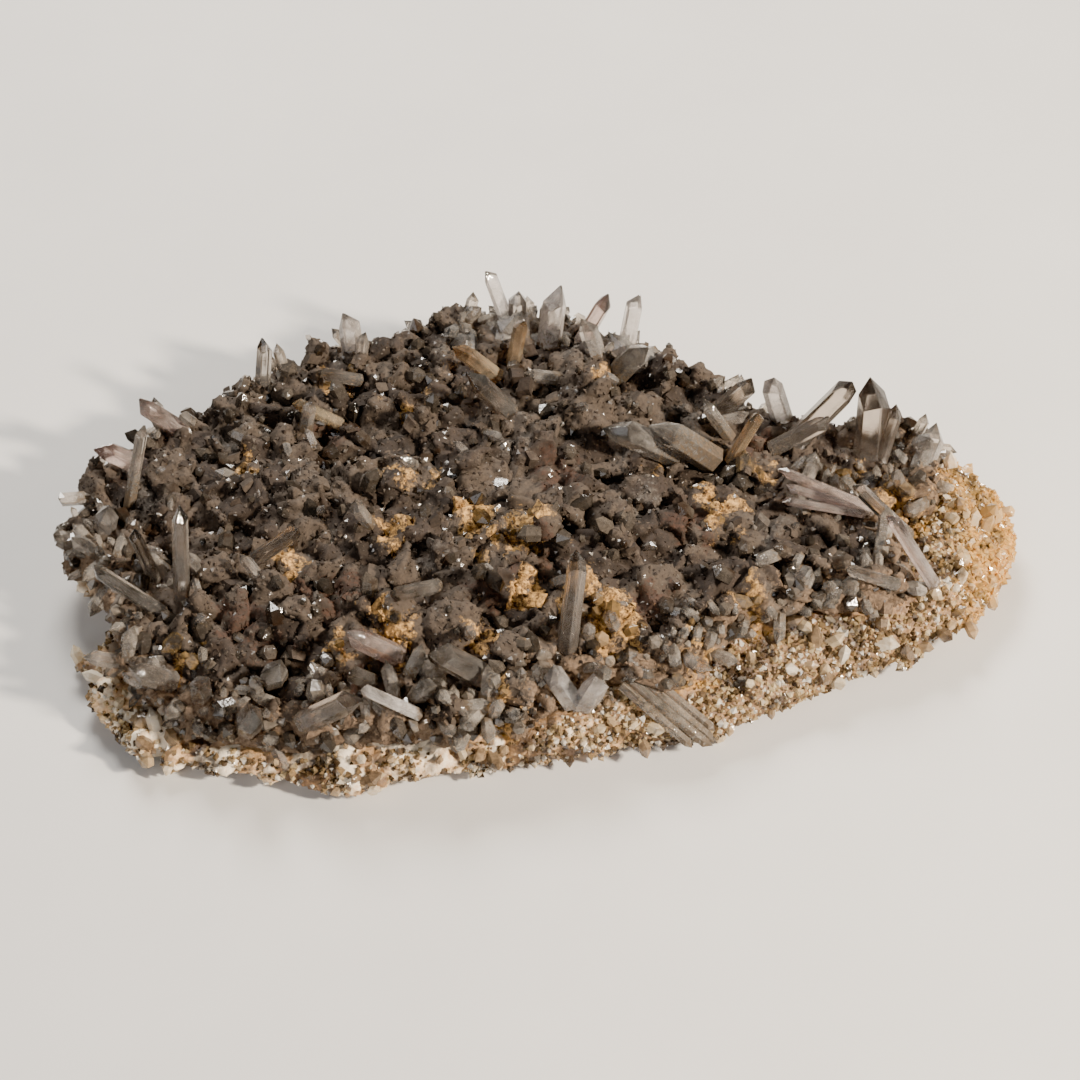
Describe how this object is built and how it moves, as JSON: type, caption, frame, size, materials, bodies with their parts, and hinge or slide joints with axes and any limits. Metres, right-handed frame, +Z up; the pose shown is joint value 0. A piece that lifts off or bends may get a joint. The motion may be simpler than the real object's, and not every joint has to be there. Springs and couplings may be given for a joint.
{
  "type": "dolomite pseudomorph",
  "caption": "Flat natural hand specimen: pale granular quartz rock under a dark brown crust of lumpy iron oxide rhombs after dolomite, with upright and leaning quartz points",
  "frame": {"origin": "centre of the specimen's box, on the surface it rests on", "axes": "+X along the length towards the bare end, +Y from the bare front edge to the high back edge, +Z up out of the crust"},
  "size_m": [0.1806, 0.1098, 0.0376],
  "materials": {
    "pale_quartz_rock": "granular, sugary, with glinting faces",
    "brown_oxide_crust": "earthy and matte, with small sparkling facets",
    "clear_quartz": "glassy natural faces, clear to milky"
  },
  "bodies": {
    "root": {"quartz_rock_slab": "pale_quartz_rock", "pseudomorph_crust": "brown_oxide_crust", "quartz_tall_centre": "clear_quartz", "quartz_tall_left": "clear_quartz", "quartz_long_left": "clear_quartz", "quartz_mid_left": "clear_quartz", "quartz_prism_left": "clear_quartz", "quartz_front_prism": "clear_quartz", "quartz_front_white": "clear_quartz", "quartz_stub_far_left": "clear_quartz", "quartz_stub_left": "clear_quartz", "quartz_grey_stub": "clear_quartz", "quartz_block_front_left": "clear_quartz", "quartz_milky_cluster": "clear_quartz", "quartz_needle_bundle": "clear_quartz", "quartz_grey_front": "clear_quartz", "quartz_clear_front": "clear_quartz", "quartz_front_centre": "clear_quartz", "quartz_milky_front": "clear_quartz", "quartz_blade_centre": "clear_quartz", "quartz_prism_upper": "clear_quartz", "quartz_amber_back": "clear_quartz", "quartz_amber_upright": "clear_quartz", "quartz_white_summit": "clear_quartz", "quartz_milky_back": "clear_quartz", "quartz_pink_back": "clear_quartz", "quartz_white_back": "clear_quartz", "quartz_block_back": "clear_quartz", "quartz_coated_pair": "clear_quartz", "quartz_lean_right": "clear_quartz", "quartz_striped_right": "clear_quartz", "quartz_amber_right": "clear_quartz", "quartz_bright_right": "clear_quartz", "quartz_large_right": "clear_quartz", "quartz_upright_right": "clear_quartz", "quartz_needle_fan": "clear_quartz", "quartz_slanting_right": "clear_quartz", "quartz_edge_right": "clear_quartz", "quartz_blade_right": "clear_quartz", "quartz_pale_left": "clear_quartz", "quartz_rim_left": "clear_quartz", "quartz_brown_left": "clear_quartz", "quartz_upright_back_left": "clear_quartz", "quartz_leaning_back_left": "clear_quartz", "quartz_amber_left": "clear_quartz", "quartz_white_top_left": "clear_quartz"}
  },
  "joints": []
}
